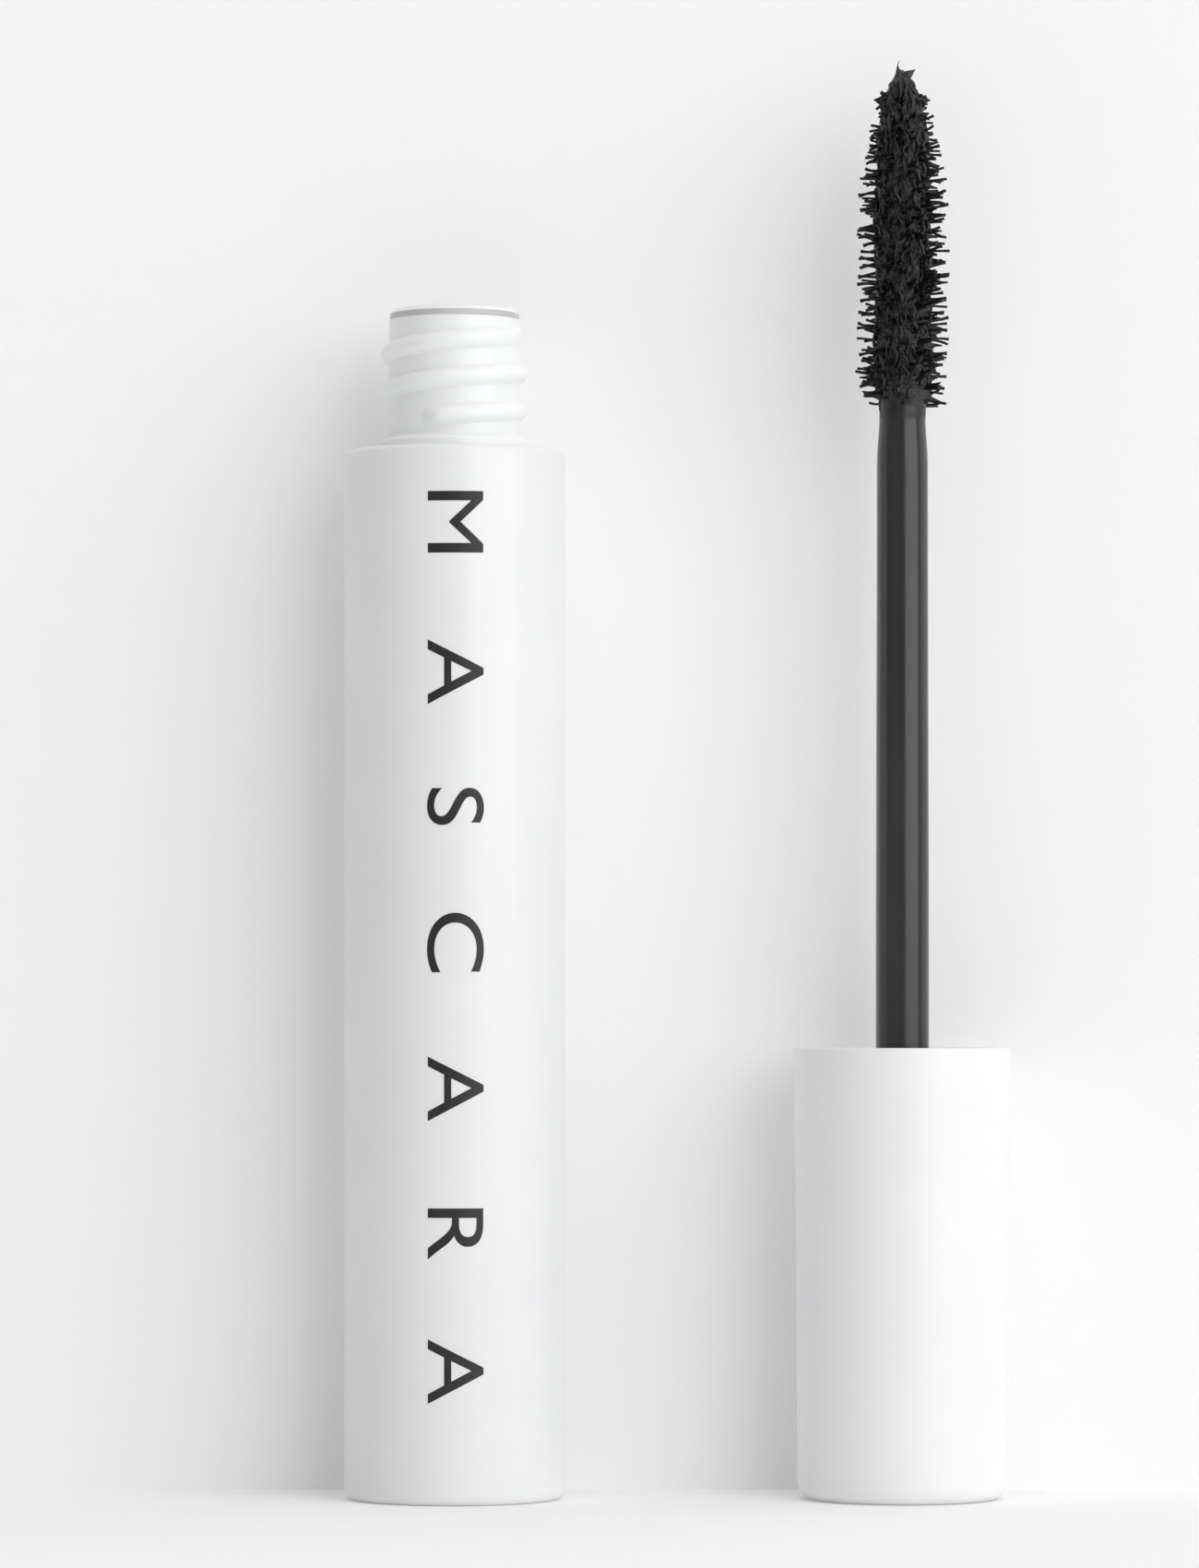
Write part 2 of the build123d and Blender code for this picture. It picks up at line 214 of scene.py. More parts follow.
def add_bump(made, fac, strength, depth):
    """Bump of a real depth in metres; a second bump is laid over the first."""
    nodes, links = made.node_tree.nodes, made.node_tree.links
    bump = nodes.new("ShaderNodeBump")
    bump.inputs["Strength"].default_value = strength
    bump.inputs["Distance"].default_value = depth
    normal = nodes["Principled BSDF"].inputs["Normal"]
    if normal.is_linked:
        links.new(normal.links[0].from_socket, bump.inputs["Normal"])
    links.new(fac, bump.inputs["Height"])
    links.new(bump.outputs["Normal"], normal)


def white_plastic(name, level):
    """Satin white injection-moulded plastic, with fine moulding texture and a slow waviness."""
    made = material(name, (level, level, level), IOR=1.46, Coat_Weight=0.15, Coat_Roughness=0.12)
    dark, light = (level - 0.015, level - 0.01, level), (level + 0.01, level + 0.015, level + 0.02)
    vary_color(made, add_noise(made, 90), dark, light)
    vary_roughness(made, add_noise(made, 260, stretch=(1, 1, 0.3)), 0.26, 0.38)
    add_bump(made, add_noise(made, 5200, 2.0), 0.10, 0.00003)
    add_bump(made, add_noise(made, 55, 1.0), 0.20, 0.00008)
    return made


def plug_plastic():
    made = material("plug_plastic", (0.8, 0.8, 0.8))
    vary_color(made, add_noise(made, 300), (0.76, 0.76, 0.76), (0.82, 0.82, 0.82))
    vary_roughness(made, add_noise(made, 900), 0.42, 0.6)
    add_bump(made, add_noise(made, 3000), 0.3, 0.00004)
    return made


def label_paper():
    made = material("label_paper", (0.85, 0.85, 0.83))
    vary_color(made, add_noise(made, 2600, 5), (0.80, 0.80, 0.77), (0.87, 0.87, 0.85))
    vary_roughness(made, add_noise(made, 1500), 0.7, 0.85)
    add_bump(made, add_noise(made, 4200, 5), 0.4, 0.00003)
    return made


def natural_plastic():
    """Milky unpigmented plastic of the vial, lit through by its own scatter."""
    made = material("natural_plastic", (0.90, 0.91, 0.915), IOR=1.49, Subsurface_Weight=0.25,
                    Subsurface_Scale=0.6 * MM, Subsurface_Radius=(1.0, 1.0, 0.95))
    vary_color(made, add_noise(made, 220), (0.89, 0.90, 0.905), (0.91, 0.915, 0.92))
    vary_roughness(made, add_noise(made, 600, stretch=(1, 1, 0.25)), 0.26, 0.38)
    add_bump(made, add_noise(made, 700, 2, (1, 1, 0.4)), 0.08, 0.00003)
    return made


def liner_plastic():
    made = material("liner_plastic", (0.86, 0.87, 0.875), IOR=1.49)
    vary_color(made, add_noise(made, 260), (0.83, 0.84, 0.845), (0.88, 0.89, 0.89))
    vary_roughness(made, add_noise(made, 700), 0.3, 0.42)
    add_bump(made, add_noise(made, 1500), 0.2, 0.00003)
    return made


def wiper_plastic():
    made = material("wiper_plastic", (0.55, 0.55, 0.57), IOR=1.5)
    vary_color(made, add_noise(made, 500), (0.50, 0.50, 0.525), (0.56, 0.56, 0.58))
    vary_roughness(made, add_noise(made, 900), 0.3, 0.42)
    add_bump(made, add_noise(made, 2500), 0.2, 0.00003)
    return made


def seal_elastomer():
    made = material("seal_elastomer", (0.72, 0.73, 0.74))
    vary_color(made, add_noise(made, 900), (0.68, 0.69, 0.70), (0.76, 0.77, 0.77))
    vary_roughness(made, add_noise(made, 1600), 0.6, 0.75)
    add_bump(made, add_noise(made, 4000), 0.3, 0.00003)
    return made


def stem_plastic():
    made = material("stem_plastic", (0.028, 0.029, 0.030), IOR=1.5)
    vary_color(made, add_noise(made, 400, stretch=(1, 1, 0.15)), (0.025, 0.026, 0.027), (0.032, 0.033, 0.034))
    vary_roughness(made, add_noise(made, 900, stretch=(1, 1, 0.08)), 0.16, 0.26)
    add_bump(made, add_noise(made, 800, 2, (1, 1, 0.05)), 0.15, 0.00003)
    return made


def wet_product():
    """Clotted black product: dark, with small wet highlights that run up and down."""
    made = material("wet_product", (0.004, 0.004, 0.0045), IOR=1.5, Specular_IOR_Level=0.42)
    vary_color(made, add_noise(made, 1800, 4), (0.003, 0.003, 0.0033), (0.007, 0.007, 0.0075))
    vary_roughness(made, add_noise(made, 3000, 3), 0.12, 0.34)
    add_bump(made, add_noise(made, 2400, 3, (1, 1, 0.4)), 1.0, 0.00030)
    add_bump(made, add_noise(made, 7000, 2), 0.6, 0.00005)
    return made


def product_film_painted_sheen():
    """The same product where it is drawn into a smooth skin, with a lighter base colour than the clotted
    product as painted sheen.
    """
    made = material("product_film_painted_sheen", (0.014, 0.014, 0.015), IOR=1.5)
    vary_color(made, add_noise(made, 1500, 3), (0.010, 0.010, 0.011), (0.022, 0.022, 0.023))
    vary_roughness(made, add_noise(made, 2200, 3), 0.28, 0.42)
    add_bump(made, add_noise(made, 1500, 3, (1, 1, 0.5)), 0.5, 0.00008)
    return made


def bristle_nylon():
    made = material("bristle_nylon", (0.006, 0.006, 0.0065), IOR=1.5, Specular_IOR_Level=0.3)
    vary_color(made, add_noise(made, 3500, 3), (0.004, 0.004, 0.0045), (0.009, 0.009, 0.0095))
    vary_roughness(made, add_noise(made, 6000, 3), 0.25, 0.5)
    add_bump(made, add_noise(made, 9000, 3), 0.5, 0.00004)
    return made


def drawn_steel():
    made = material("drawn_steel", (0.5, 0.5, 0.51), Metallic=1.0)
    vary_color(made, add_noise(made, 1500), (0.42, 0.42, 0.43), (0.58, 0.58, 0.59))
    vary_roughness(made, add_noise(made, 5000, stretch=(1, 1, 0.2)), 0.25, 0.45)
    add_bump(made, add_noise(made, 9000), 0.2, 0.00002)
    return made


def print_ink():
    made = material("print_ink", (0.012, 0.012, 0.013), IOR=1.5)
    vary_color(made, add_noise(made, 1200, 4), (0.009, 0.009, 0.010), (0.018, 0.018, 0.019))
    vary_roughness(made, add_noise(made, 2500, 3), 0.35, 0.5)
    add_bump(made, add_noise(made, 6000, 3), 0.2, 0.00002)
    return made


def finish_cad_nodes(finishes):
    """Gives every CAD node its material, the hidden ones too."""
    for name, finish in finishes.items():
        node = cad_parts[name]
        node.data.materials.clear()
        node.data.materials.append(finish)
        for polygon in node.data.polygons:
            polygon.material_index = 0


# ================================================================ turned pieces
def rounded(points, hold=0.12 * MM):
    """Section outline from (radius, height, rounding) corners, with a holding point each side of a corner."""
    outline = []
    count = len(points)
    for i, (r, z, rounding) in enumerate(points):
        corner = Vector((r, z))
        before = Vector(points[i - 1][:2]) - corner
        after = Vector(points[(i + 1) % count][:2]) - corner
        room = min(before.length, after.length) * 0.45
        before.normalize()
        after.normalize()
        half = before.angle(after) / 2
        nearly_straight = half > 1.55
        if rounding == 0 or nearly_straight:
            outline.append(corner)
            continue
        back = min(rounding / math.tan(half), room)
        radius = back * math.tan(half)
        centre = corner + (before + after).normalized() * (radius / math.sin(half))
        start, end = corner + before * back, corner + after * back
        if room > back + hold:
            outline.append(start + before * hold)
        steps = 8
        first, last = start - centre, end - centre
        sweep = first.angle_signed(last)
        for k in range(steps + 1):
            turn = Matrix.Rotation(-sweep * k / steps, 2)
            outline.append(centre + turn @ first)
        if room > back + hold:
            outline.append(end + after * hold)
    return outline


def turned(name, outline, centre_x, finish, body, segments=192):
    """Solid of revolution of a closed section outline about a vertical axis."""
    bm = bmesh.new()
    verts = [bm.verts.new((centre_x + p.x, 0, p.y)) for p in outline]
    edges = [bm.edges.new((verts[i - 1], verts[i])) for i in range(len(verts))]
    bmesh.ops.spin(bm, geom=verts + edges, cent=(centre_x, 0, 0), axis=(0, 0, 1), angle=2 * math.pi,
                   steps=segments, use_merge=True)
    bmesh.ops.remove_doubles(bm, verts=bm.verts[:], dist=1e-7)
    axis_edges = [e for e in bm.edges if not e.link_faces]
    bmesh.ops.delete(bm, geom=axis_edges, context="EDGES")
    bmesh.ops.recalc_face_normals(bm, faces=bm.faces[:])
    mesh = bpy.data.meshes.new(name)
    bm.to_mesh(mesh)
    bm.free()
    return finished(name, mesh, finish, body)


def finished(name, mesh, finish, body):
    for polygon in mesh.polygons:
        polygon.use_smooth = True
    mesh.materials.append(finish)
    piece = bpy.data.objects.new(name, mesh)
    bpy.context.scene.collection.objects.link(piece)
    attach(piece, body)
    return piece


def make_sleeve(finish):
    """White bottle body: rounded foot and shoulder, open at the top round the collar."""
    top, outer = SLEEVE_HIGH.z, BODY_R
    bore, wall, foot_bore = 7.5 * MM, 1.1 * MM, 6.6 * MM
    neck_hole = 5.65 * MM
    foot_edge, shoulder_edge = 1.2 * MM, 0.5 * MM
    outline = rounded([
        (foot_bore, 0, 0.1 * MM), (outer, 0, foot_edge), (outer, top, shoulder_edge),
        (neck_hole, top, 0.12 * MM),
        (neck_hole, top - wall, 0.1 * MM), (bore, top - wall, 0.3 * MM), (bore, 2.7 * MM, 0.3 * MM),
        (foot_bore, 2.2 * MM, 0.2 * MM),
    ])
    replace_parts(turned("sleeve", outline, 0, finish, "bottle", 256), "outer_sleeve")


def make_cap(finish):
    """White cap with a slight draft, a softly rounded closed end and a crisp rim."""
    height, rim = CAP_HIGH.z, (CAP_HIGH.x - CAP_LOW.x) / 2
    draft, end_edge, rim_edge = 0.27 * MM, 1.3 * MM, 0.16 * MM
    bore, end_wall = rim - 1.1 * MM, 1.3 * MM
    lower_bore = bore - 0.6 * MM
    outline = rounded([
        (0, 0, 0), (rim - draft, 0, end_edge), (rim, height, rim_edge), (bore, height, rim_edge),
        (bore, 11 * MM, 0.3 * MM), (lower_bore, 10 * MM, 0.3 * MM), (lower_bore, end_wall, 0.6 * MM),
        (0, end_wall, 0),
    ])
    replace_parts(turned("cap", outline, WAND_X, finish, "applicator", 256), "cap_shell")


# ================================================================ neck
NECK_R = 5.02 * MM
NECK_BORE_R = 4.1 * MM
COLLAR_R = 5.78 * MM
COLLAR_TOP = SLEEVE_HIGH.z + 0.9 * MM
LEAD = 2.85 * MM
RIDGE_H = 0.62 * MM
RIDGE_HALF_W = 0.74 * MM
RIDGE_START_DEG, RIDGE_END_DEG = -108, 730
RIDGE_START_Z = 82.72 * MM
LEAD_IN_DEG, LEAD_OUT_DEG = 18, 150     # how far round the ridge takes to rise and to fade


def ridge_at(angle_deg, z):
    """How far the screw thread stands out of the neck at an angle and a height."""
    height = 0
    turn = angle_deg
    while turn < RIDGE_END_DEG:
        off = (z - RIDGE_START_Z - LEAD * (turn - RIDGE_START_DEG) / 360) / RIDGE_HALF_W
        if abs(off) < 1:
            lead_in = min(max((turn - RIDGE_START_DEG) / LEAD_IN_DEG + 0.5, 0), 1)
            lead_out = min((RIDGE_END_DEG - turn) / LEAD_OUT_DEG, 1)
            swell = math.sin(lead_in * math.pi / 2) * math.sin(lead_out * math.pi / 2) ** 0.8
            height = max(height, RIDGE_H * swell * (1 - off * off) ** 0.72)
        turn += 360
    return height


def on_neck_wall(point):
    """Whether a section point lies on the neck's outer wall."""
    return abs(point.x - NECK_R) < 0.001 * MM


def make_vial(finish):
    """Translucent vial: the neck with its moulded thread and collar shows, the rest is inside the sleeve."""
    top, low, outer = VIAL_HIGH.z, VIAL_LOW.z, VIAL_HIGH.x
    hidden = SLEEVE_HIGH.z - 1.2 * MM
    throat = COLLAR_R - 0.2 * MM
    collar_low = SLEEVE_HIGH.z + 0.02 * MM
    inner, floor = outer - 0.95 * MM, low + 1.0 * MM
    section = rounded([
        (0, low, 0), (outer, low, 0.8 * MM), (outer, hidden, 0.5 * MM), (throat, hidden, 0.1 * MM),
        (throat, collar_low, 0.03 * MM), (COLLAR_R, collar_low, 0.06 * MM),
        (COLLAR_R, COLLAR_TOP, 0.3 * MM), (NECK_R, COLLAR_TOP, 0.25 * MM), (NECK_R, top, 0.08 * MM),
        (NECK_BORE_R, top, 0.05 * MM), (NECK_BORE_R, hidden - 0.6 * MM, 0.3 * MM),
        (inner, hidden - 2.6 * MM, 0.5 * MM), (inner, floor, 0.8 * MM), (0, floor, 0),
    ])
    ring_gap = 0.07 * MM
    outline = []
    for here, ahead in zip(section, section[1:] + section[:1]):
        outline.append(here)
        up_the_neck = on_neck_wall(here) and on_neck_wall(ahead)
        steps = int((ahead - here).length / ring_gap) if up_the_neck else 1
        outline += [here.lerp(ahead, k / steps) for k in range(1, steps)]
    around = 288
    verts, faces = [], []
    for i in range(around):
        angle_deg = -180 + 360 * i / around
        across, along = math.cos(math.radians(angle_deg)), math.sin(math.radians(angle_deg))
        for p in outline:
            threaded = on_neck_wall(p) and p.y > COLLAR_TOP
            r = p.x + (ridge_at(angle_deg, p.y) if threaded else 0)
            verts.append((r * across, r * along, p.y))
    count = len(outline)
    for i in range(around):
        for j in range(count - 1):
            a, b = i * count + j, (i + 1) % around * count + j
            faces.append((a, b, b + 1, a + 1))
    mesh = bpy.data.meshes.new("vial")
    mesh.from_pydata(verts, [], faces)
    bm = bmesh.new()
    bm.from_mesh(mesh)
    bmesh.ops.remove_doubles(bm, verts=bm.verts[:], dist=1e-7)
    bmesh.ops.recalc_face_normals(bm, faces=bm.faces[:])
    bm.to_mesh(mesh)
    bm.free()
    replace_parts(finished("vial", mesh, finish, "bottle"), "inner_vial")


def make_wiper(finish, painted_highlight_finish):
    """Wiper insert: a flange whose bevelled rim edge takes a pale material as a painted highlight, the guide
    tube and the cone to the lip.
    """
    bevel, top_line = 0.31 * MM, 0.03 * MM
    low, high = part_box("wiper")
    flange_r, tube_r, bore_r, lip_r = high.x - 0.03 * MM, NECK_BORE_R - 0.02 * MM, 3.5 * MM, 2.1 * MM
    under = VIAL_HIGH.z
    cone_outside, cone_inside = low.z + 5.0 * MM, low.z + 5.8 * MM
    outline = rounded([
        (bore_r + 0.5 * MM, high.z, 0.12 * MM), (flange_r - bevel, high.z, 0.06 * MM),
        (flange_r, high.z - bevel, 0.04 * MM), (flange_r, under, 0.06 * MM),
        (tube_r, under, 0.04 * MM), (tube_r, cone_outside, 0.4 * MM), (lip_r + 0.7 * MM, low.z, 0.1 * MM),
        (lip_r, low.z, 0.08 * MM), (lip_r, low.z + 0.5 * MM, 0.2 * MM), (bore_r, cone_inside, 0.6 * MM),
        (bore_r, high.z - 0.9 * MM, 0.3 * MM),
    ])
    insert = turned("wiper_insert", outline, 0, finish, "bottle")
    # The bevel band gets the pale vial plastic as a painted highlight, where light catches the flange's top
    # edge; the thin line at the very top stays grey.
    insert.data.materials.append(painted_highlight_finish)
    for polygon in insert.data.polygons:
        if high.z - bevel < polygon.center.z < high.z - top_line:
            polygon.material_index = 1
    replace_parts(insert, "wiper")


# ================================================================ printed mark
LETTER_SIZE = 6.2 * MM
LETTER_SPACING = 2.65
LETTER_WIDEN = 1.18
PRINT_MIDDLE_SHARE = 0.529      # height of the word's middle, as a share of the sleeve's


def make_print(ink):
    """Generic word down the front of the bottle, wrapped round it as a thin film of ink."""
    film, strip = 0.012 * MM, 0.25 * MM
    text = bpy.data.curves.new("print_text", "FONT")
    text.body = "MASCARA"
    text.size = LETTER_SIZE
    text.space_character = LETTER_SPACING
    text.align_x, text.align_y = "CENTER", "CENTER"
    carrier = bpy.data.objects.new("print_text", text)
    bpy.context.scene.collection.objects.link(carrier)
    bpy.context.view_layer.update()
    flat = bpy.data.meshes.new_from_object(carrier)
    bpy.data.objects.remove(carrier)
    bm = bmesh.new()
    bm.from_mesh(flat)
    reach = max(abs(v.co.y) for v in bm.verts)
    cuts = int(2 * reach / strip)
    for i in range(cuts + 1):
        everything = bm.verts[:] + bm.edges[:] + bm.faces[:]
        bmesh.ops.bisect_plane(bm, geom=everything, plane_co=(0, -reach + i * strip, 0), plane_no=(0, 1, 0))
    bmesh.ops.triangulate(bm, faces=bm.faces[:])
    middle_z = SLEEVE_HIGH.z * PRINT_MIDDLE_SHARE
    radius = BODY_R + film
    for v in bm.verts:
        angle = v.co.y / radius
        z = middle_z - v.co.x * LETTER_WIDEN
        v.co = Vector((radius * math.sin(angle), -radius * math.cos(angle), z))
    mesh = bpy.data.meshes.new("bottle_print")
    bm.to_mesh(mesh)
    bm.free()
    mark = bpy.data.objects.new("bottle_print", mesh)
    bpy.context.scene.collection.objects.link(mark)
    thickness = mark.modifiers.new("film", "SOLIDIFY")
    thickness.thickness = film
    thickness.offset = 1
    mesh.materials.append(ink)
    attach(mark, "bottle")


# ================================================================ brush
def new_piece(name, verts, faces, finish, body):
    mesh = bpy.data.meshes.new(name)
    mesh.from_pydata(verts, [], faces)
    mesh.validate()
    return finished(name, mesh, finish, body)


def add_tube(verts, faces, path, radii, sides=6, flat=1.0):
    """Adds a closed tapered tube along path; flat squeezes it across its width."""
    start = len(verts)
    side = None
    for i, (point, radius) in enumerate(zip(path, radii)):
        ahead = path[min(i + 1, len(path) - 1)] - path[max(i - 1, 0)]
        ahead.normalize()
        if side is None:
            side = ahead.cross(Vector((0, 0, 1)))
            side.normalize()
        side = (side - ahead * side.dot(ahead)).normalized()
        up = ahead.cross(side)
        for k in range(sides):
            turn = 2 * math.pi * k / sides
            verts.append(point + side * (math.cos(turn) * radius * flat) + up * (math.sin(turn) * radius))
    rings = len(path)
    for i in range(rings - 1):
        for k in range(sides):
            a, b = start + i * sides + k, start + i * sides + (k + 1) % sides
            faces.append((a, b, b + sides, a + sides))
    faces.append(tuple(start + k for k in reversed(range(sides))))
    faces.append(tuple(start + (rings - 1) * sides + k for k in range(sides)))


def closed_skin(around, along):
    """Faces of a closed skin whose points are along + 1 level rings of around points each."""
    faces = []
    for j in range(along):
        for i in range(around):
            a, b = j * around + i, j * around + (i + 1) % around
            faces.append((a, b, b + around, a + around))
    faces.append(tuple(reversed(range(around))))
    faces.append(tuple(along * around + i for i in range(around)))
    return faces


def smooth_between(value, points):
    """Value of a smooth curve through (position, value) points."""
    if value <= points[0][0]:
        return points[0][1]
    for (p0, v0), (p1, v1) in zip(points, points[1:]):
        if value <= p1:
            t = (value - p0) / (p1 - p0)
            return v0 + (v1 - v0) * t * t * (3 - 2 * t)
    return points[-1][1]


FOOT_Z = PACK_LOW.z
PACK_L = PACK_HIGH.z - PACK_LOW.z
# Outlines of the brush: (share of the pack's length, share of its radius).
REACH_CURVE = ((-0.01, 0.9), (0.1, 0.98), (0.5, 1.0), (0.68, 0.95), (0.84, 0.76), (0.94, 0.55), (1.0, 0.3))
CORE_CURVE = ((-0.03, 0.46), (0.0, 0.50), (0.06, 0.56), (0.6, 0.54), (0.8, 0.49), (0.92, 0.42), (0.985, 0.30),
              (1.02, 0.12), (1.035, 0.02))
GOLDEN_TURN = 0.381966          # share of a turn between neighbouring clumps


def reach_at(share):
    """How far fibre tips stand from the axis at a share of the pack's length, in metres."""
    return PACK_R * smooth_between(share, REACH_CURVE)


def core_at(share):
    """Radius of the clogged middle of the brush, without its lumps."""
    return PACK_R * smooth_between(share, CORE_CURVE)


def wand_point(angle, radius, z):
    return Vector((WAND_X + radius * math.cos(angle), radius * math.sin(angle), z))


def make_core(finish):
    """Product packed between the bristles: a lumpy sleeve with upright ridges, drawn to a cone at the tip."""
    around, along = 180, 460
    verts = []
    low, high = CORE_CURVE[0][0], CORE_CURVE[-1][0]
    for j in range(along + 1):
        share = low + (high - low) * j / along
        z = FOOT_Z + share * PACK_L
        for i in range(around):
            angle = 2 * math.pi * i / around
            radius = core_at(share)
            place = Vector((math.cos(angle) * 2.1, math.sin(angle) * 2.1, z / MM))
            swirl = noise.noise(Vector((place.x * 0.8, place.y * 0.8, place.z * 0.5)))
            lumps = noise.noise(place * 0.9 + Vector((3, 1, 7)))
            ridges = noise.noise(Vector((place.x * 3.1 + swirl * 2, place.y * 3.1, place.z * 1.5 + swirl)))
            fine = noise.noise(place * 6.5)
            calm = min(1, radius / (0.35 * PACK_R))
            radius += (0.20 * lumps + 0.20 * ridges + 0.08 * fine) * calm * MM
            verts.append(wand_point(angle, max(radius, 0.02 * MM), z))
    core = new_piece("brush_core", verts, closed_skin(around, along), finish, "applicator")
    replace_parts(core, "bristles")


def make_fibres(finish):
    """Bristles all round the wire, in small clumps whose tips lean together or splay."""
    verts, faces = [], []
    clumps = 205
    for c in range(clumps):
        share = (c + random.random()) / clumps * 0.955
        heading = 2 * math.pi * (c * GOLDEN_TURN + random.uniform(-0.04, 0.04))
        count = random.choice((1, 2, 2, 2, 3, 3))
        pinch = random.uniform(-0.7, 0.8)
        for _ in range(count):
            spread_z = random.uniform(-0.42, 0.42) * MM
            spread_a = random.uniform(-0.16, 0.16)
            z = FOOT_Z + share * PACK_L + spread_z
            here = (z - FOOT_Z) / PACK_L
            reach = reach_at(here) * random.uniform(0.86, 1.03)
            droop = random.uniform(-0.25, 0.35) * MM
            hook = random.uniform(-0.24, 0.24) * MM
            root = wand_point(heading + spread_a, core_at(here) * 0.75, z)
            tip = wand_point(heading + spread_a * (1 - pinch), reach, z - spread_z * pinch + droop)
            sag = Vector((random.uniform(-1, 1), random.uniform(-1, 1), random.uniform(-1, 1))) * 0.10 * MM
            path = []
            for i in range(8):
                t = i / 7
                path.append(root.lerp(tip, t) + sag * (4 * t * (1 - t)) + Vector((0, 0, hook * t ** 3)))
            thick = random.uniform(0.098, 0.138) * MM
            swell = [2.3, 1.8, 1.35, 1.05, 0.92, 0.9, 1.0, random.uniform(0.7, 1.35)]
            add_tube(verts, faces, path, [thick * s for s in swell])
    new_piece("bristle_fibres", verts, faces, finish, "applicator")


def make_tufts(finish):
    """Wedges of product that web neighbouring bristles together."""
    verts, faces = [], []
    for _ in range(250):
        share = random.uniform(0.0, 0.97)
        heading = random.gauss(0, 1.0) if random.random() < 0.4 else random.uniform(0, 2 * math.pi)
        z = FOOT_Z + share * PACK_L
        length = random.uniform(0.35, 0.95)
        root_r, tip_r = core_at(share) * 0.8, core_at(share) + (reach_at(share) - core_at(share)) * length
        lean = random.uniform(-0.5, 0.5) * MM
        twist = random.uniform(-0.12, 0.12)
        path = []
        for i in range(7):
            t = i / 6
            path.append(wand_point(heading + twist * t, root_r + (tip_r - root_r) * t, z + lean * t))
        wide = random.uniform(0.22, 0.46) * MM
        radii = [wide * (1 - t / 6) ** 1.3 + 0.06 * MM for t in range(7)]
        add_tube(verts, faces, path, radii, sides=8, flat=random.uniform(0.3, 0.6))
    new_piece("product_tufts", verts, faces, finish, "applicator")


def make_tip_strand(finish):
    """The thread of product that the mouth drew from the tip, and the thin web beside it."""
    verts, faces = [], []
    top = PACK_HIGH.z
    # Points of (sideways, up from the pack's top, radius), in millimetres.
    thread = ((0.05, -1.9, 0.95), (0.02, -1.1, 1.06), (-0.04, -0.25, 0.94), (-0.13, 0.3, 0.62),
              (-0.25, 0.65, 0.34), (-0.34, 0.92, 0.14), (-0.37, 1.18, 0.05), (-0.31, 1.4, 0.028),
              (-0.20, 1.61, 0.02))
    web = ((-0.1, 0.1, 0.5), (0.25, 0.4, 0.42), (0.58, 0.62, 0.26), (0.82, 0.79, 0.11), (0.98, 0.9, 0.03))
    for outline, squeeze in ((thread, 0.9), (web, 0.24)):
        path = [Vector((WAND_X + x * MM, 0, top + z * MM)) for x, z, _ in outline]
        add_tube(verts, faces, path, [r * MM for _, _, r in outline], sides=24, flat=squeeze)
    for i, v in enumerate(verts):
        calm = max(0, min(1, (top + 0.9 * MM - v.z) / (1.2 * MM)))
        verts[i] = v + noise.noise_vector(v / MM * 1.4) * (0.16 * calm * MM)
    new_piece("tip_strand", verts, faces, finish, "applicator")


def make_tip_clots(finish):
    """Excess product round the tip, which stays at the wiper when the brush goes in."""
    verts, faces = [], []
    ring_r = (DROP_HIGH.x - DROP_LOW.x) / 2
    z = (DROP_LOW.z + DROP_HIGH.z) / 2
    # Points of (share of the ring's radius, millimetres up, radius in millimetres).
    spike = ((0.42, -0.05, 0.62), (0.58, -0.08, 0.42), (0.72, -0.1, 0.26), (0.85, -0.12, 0.13),
             (0.93, -0.1, 0.05))
    for heading in (3.05, 0.15, 1.5, 4.4):
        path = [wand_point(heading, ring_r * r, z + dz * MM) for r, dz, _ in spike]
        add_tube(verts, faces, path, [thick * MM for _, _, thick in spike], sides=10, flat=0.45)
    clots = new_piece("tip_clots", verts, faces, finish, "tip_excess")
    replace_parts(clots, "tip_product")


def stem_radius(z):
    """Radius of the stem at a height, with the drawn-in top that the brush's wire is staked in."""
    top = STEM_HIGH.z
    waist = ((0, 0.85), (0.6 * MM, 0.865), (4.3 * MM, 0.961), (43 * MM, 1.0))
    return STEM_R * smooth_between(top - z, waist)


def make_stem(finish):
    """Black stem, as a turned piece."""
    low, high = STEM_LOW.z, STEM_HIGH.z
    heights = [low + 0.3 * MM + (high - low - 0.5 * MM) * k / 90 for k in range(91)]
    side = [Vector((stem_radius(z), z)) for z in heights]
    outline = [Vector((0, low)), Vector((STEM_R - 0.3 * MM, low))] + side
    outline += [Vector((stem_radius(high) - 0.15 * MM, high)), Vector((0, high))]
    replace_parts(turned("stem", outline, WAND_X, finish, "applicator", 128), "wand_stem")


def make_foot_web(finish):
    """Smooth skin of product between the stem and the lowest bristles, fuller on one side."""
    verts = []
    around, along = 128, 28
    low, high = FOOT_Z - 0.75 * MM, FOOT_Z + 0.95 * MM
    for j in range(along + 1):
        t = j / along
        z = low + (high - low) * t
        for i in range(around):
            angle = 2 * math.pi * i / around
            side = (0.5 + 0.5 * math.cos(angle - 0.3)) ** 2
            ripple = 0.06 * noise.noise(Vector((math.cos(angle) * 3, math.sin(angle) * 3, t * 3)))
            flare = (0.12 + 0.62 * side + ripple) * t ** 1.6
            verts.append(wand_point(angle, STEM_R * 0.86 + flare * MM, z))
    new_piece("foot_web", verts, closed_skin(around, along), finish, "applicator")


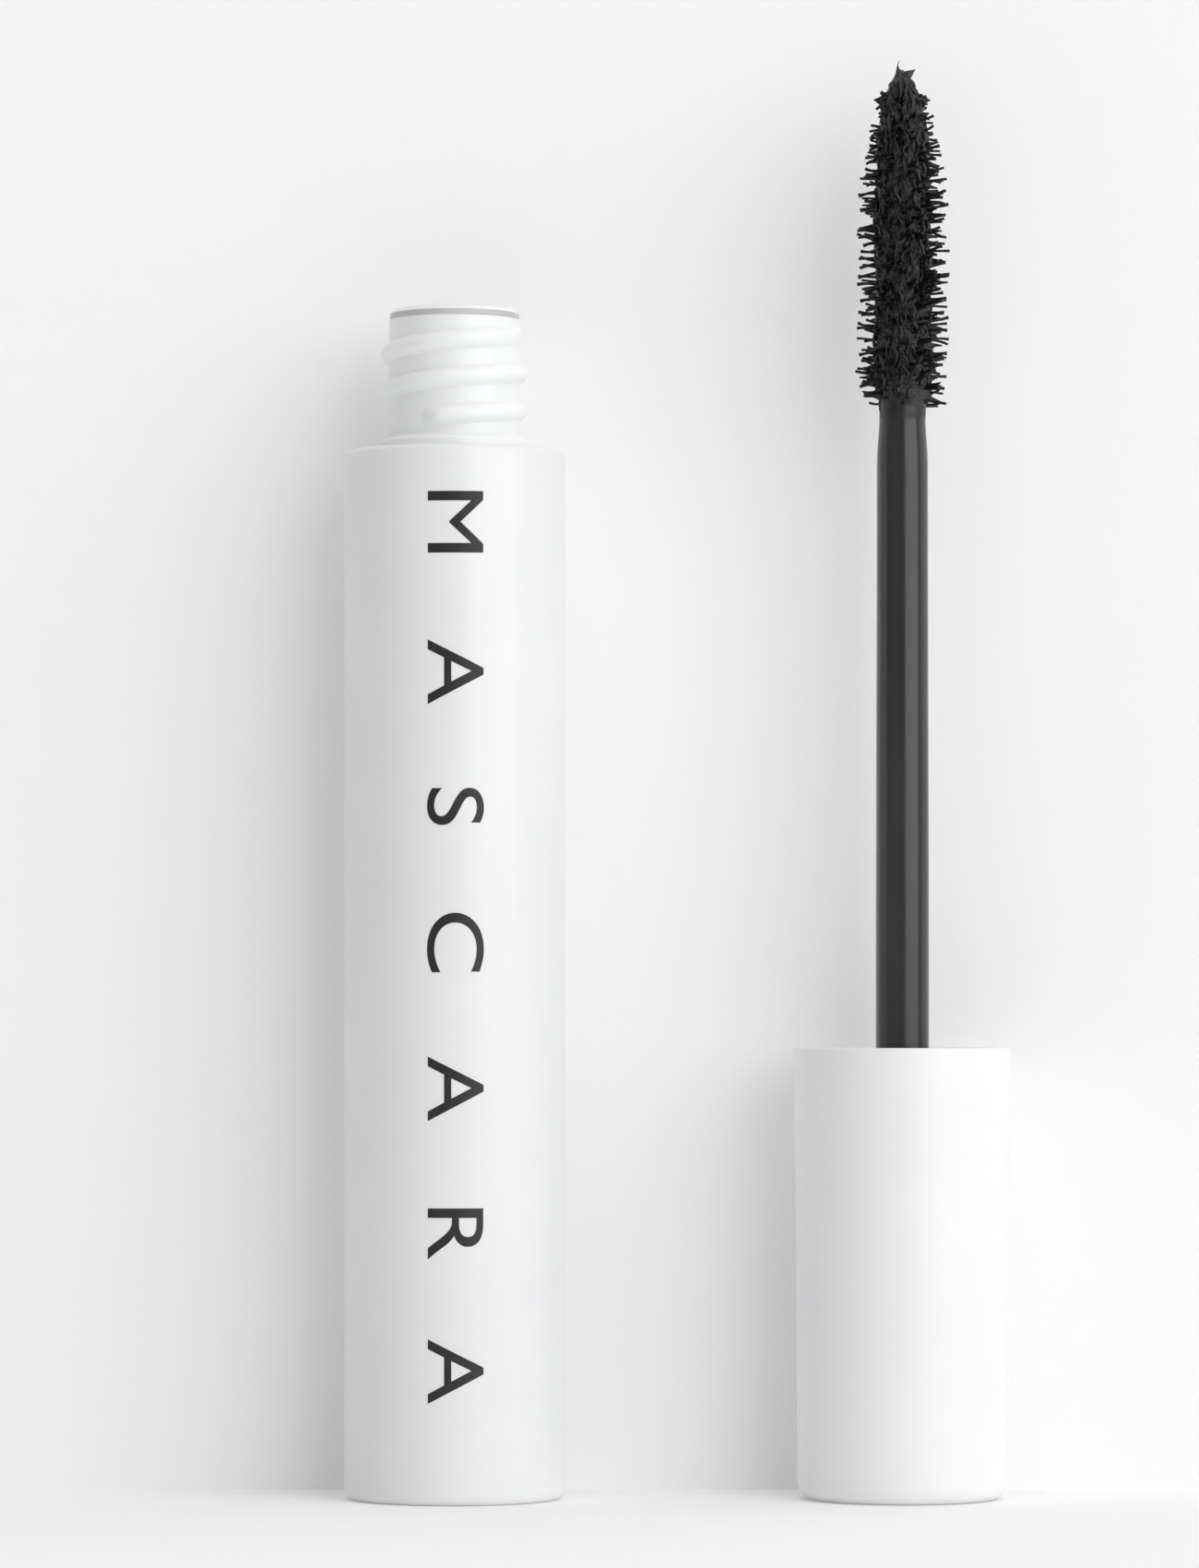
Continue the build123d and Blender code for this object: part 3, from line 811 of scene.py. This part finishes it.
def make_curls(finish):
    """Thin strands of product that lie up and down over the clogged middle."""
    verts, faces = [], []
    for _ in range(170):
        share = random.uniform(0.0, 0.93)
        heading = random.uniform(0, 2 * math.pi)
        length = random.uniform(0.8, 3.2) * MM
        wave, phase = random.uniform(0.03, 0.09), random.uniform(0, 6)
        drift = random.uniform(-0.25, 0.25)
        path = []
        for i in range(14):
            t = i / 13
            here = share + t * length / PACK_L
            radius = core_at(here) + (0.12 + 0.10 * math.sin(t * 9 + phase)) * MM
            angle = heading + wave * math.sin(t * 11 + phase) + drift * t
            path.append(wand_point(angle, radius, FOOT_Z + here * PACK_L))
        thick = random.uniform(0.04, 0.10) * MM
        swell = [0.4 + 1.2 * math.sin(math.pi * (0.06 + 0.88 * i / 13)) for i in range(14)]
        add_tube(verts, faces, path, [thick * s for s in swell])
    new_piece("product_curls", verts, faces, finish, "applicator")


def make_stem_smear(finish):
    """Skin of product over the top of the stem, thicker on one side."""
    verts = []
    around, along = 96, 24
    low, high = SMEAR_LOW.z, SMEAR_HIGH.z
    for j in range(along + 1):
        t = j / along
        z = low + (high - low) * t
        for i in range(around):
            angle = 2 * math.pi * i / around
            edge = 0.5 + 0.5 * noise.noise(Vector((math.cos(angle) * 2, math.sin(angle) * 2, 5)))
            thick = max(0.0, t - 0.5 * edge) * (0.07 + 0.05 * math.cos(angle))
            verts.append(wand_point(angle, stem_radius(z) + thick * MM, z))
    smear = new_piece("stem_smear", verts, closed_skin(around, along), finish, "stem_excess")
    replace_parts(smear, "stem_product")


def main():
    make_camera()
    make_lights()
    make_stage()
    # The cap's white is set brighter than the sleeve's as painted light, standing in for more light falling
    # on the cap.
    white, cap_white_painted_light = white_plastic("sleeve_plastic", 0.845), white_plastic("cap_plastic_painted_light", 0.89)
    # film is a lighter copy of the product, its base colour a painted sheen for the smooth skins, the tip
    # thread and the curls.
    natural, product, film = natural_plastic(), wet_product(), product_film_painted_sheen()
    finish_cad_nodes({
        "outer_sleeve": white, "cap_shell": cap_white_painted_light, "base_plug": plug_plastic(),
        "base_label": label_paper(), "inner_vial": natural, "inner_cap": liner_plastic(),
        "wiper": natural, "seal_ring": seal_elastomer(), "mascara_bulk": product,
        "wand_stem": product, "brush_wire": drawn_steel(), "bristles": product,
        "stem_product": product, "tip_product": product,
    })
    make_sleeve(white)
    make_cap(cap_white_painted_light)
    make_vial(natural)
    # The vial's pale plastic is passed in as the painted highlight on the wiper's bevel.
    make_wiper(wiper_plastic(), natural)
    make_stem(stem_plastic())
    make_print(print_ink())
    make_core(product)
    make_fibres(bristle_nylon())
    make_tufts(product)
    # The curls take the lighter film material, as painted highlights running up and down over the clogged
    # middle.
    make_curls(film)
    make_foot_web(film)
    make_tip_strand(film)
    make_tip_clots(product)
    make_stem_smear(film)


main()
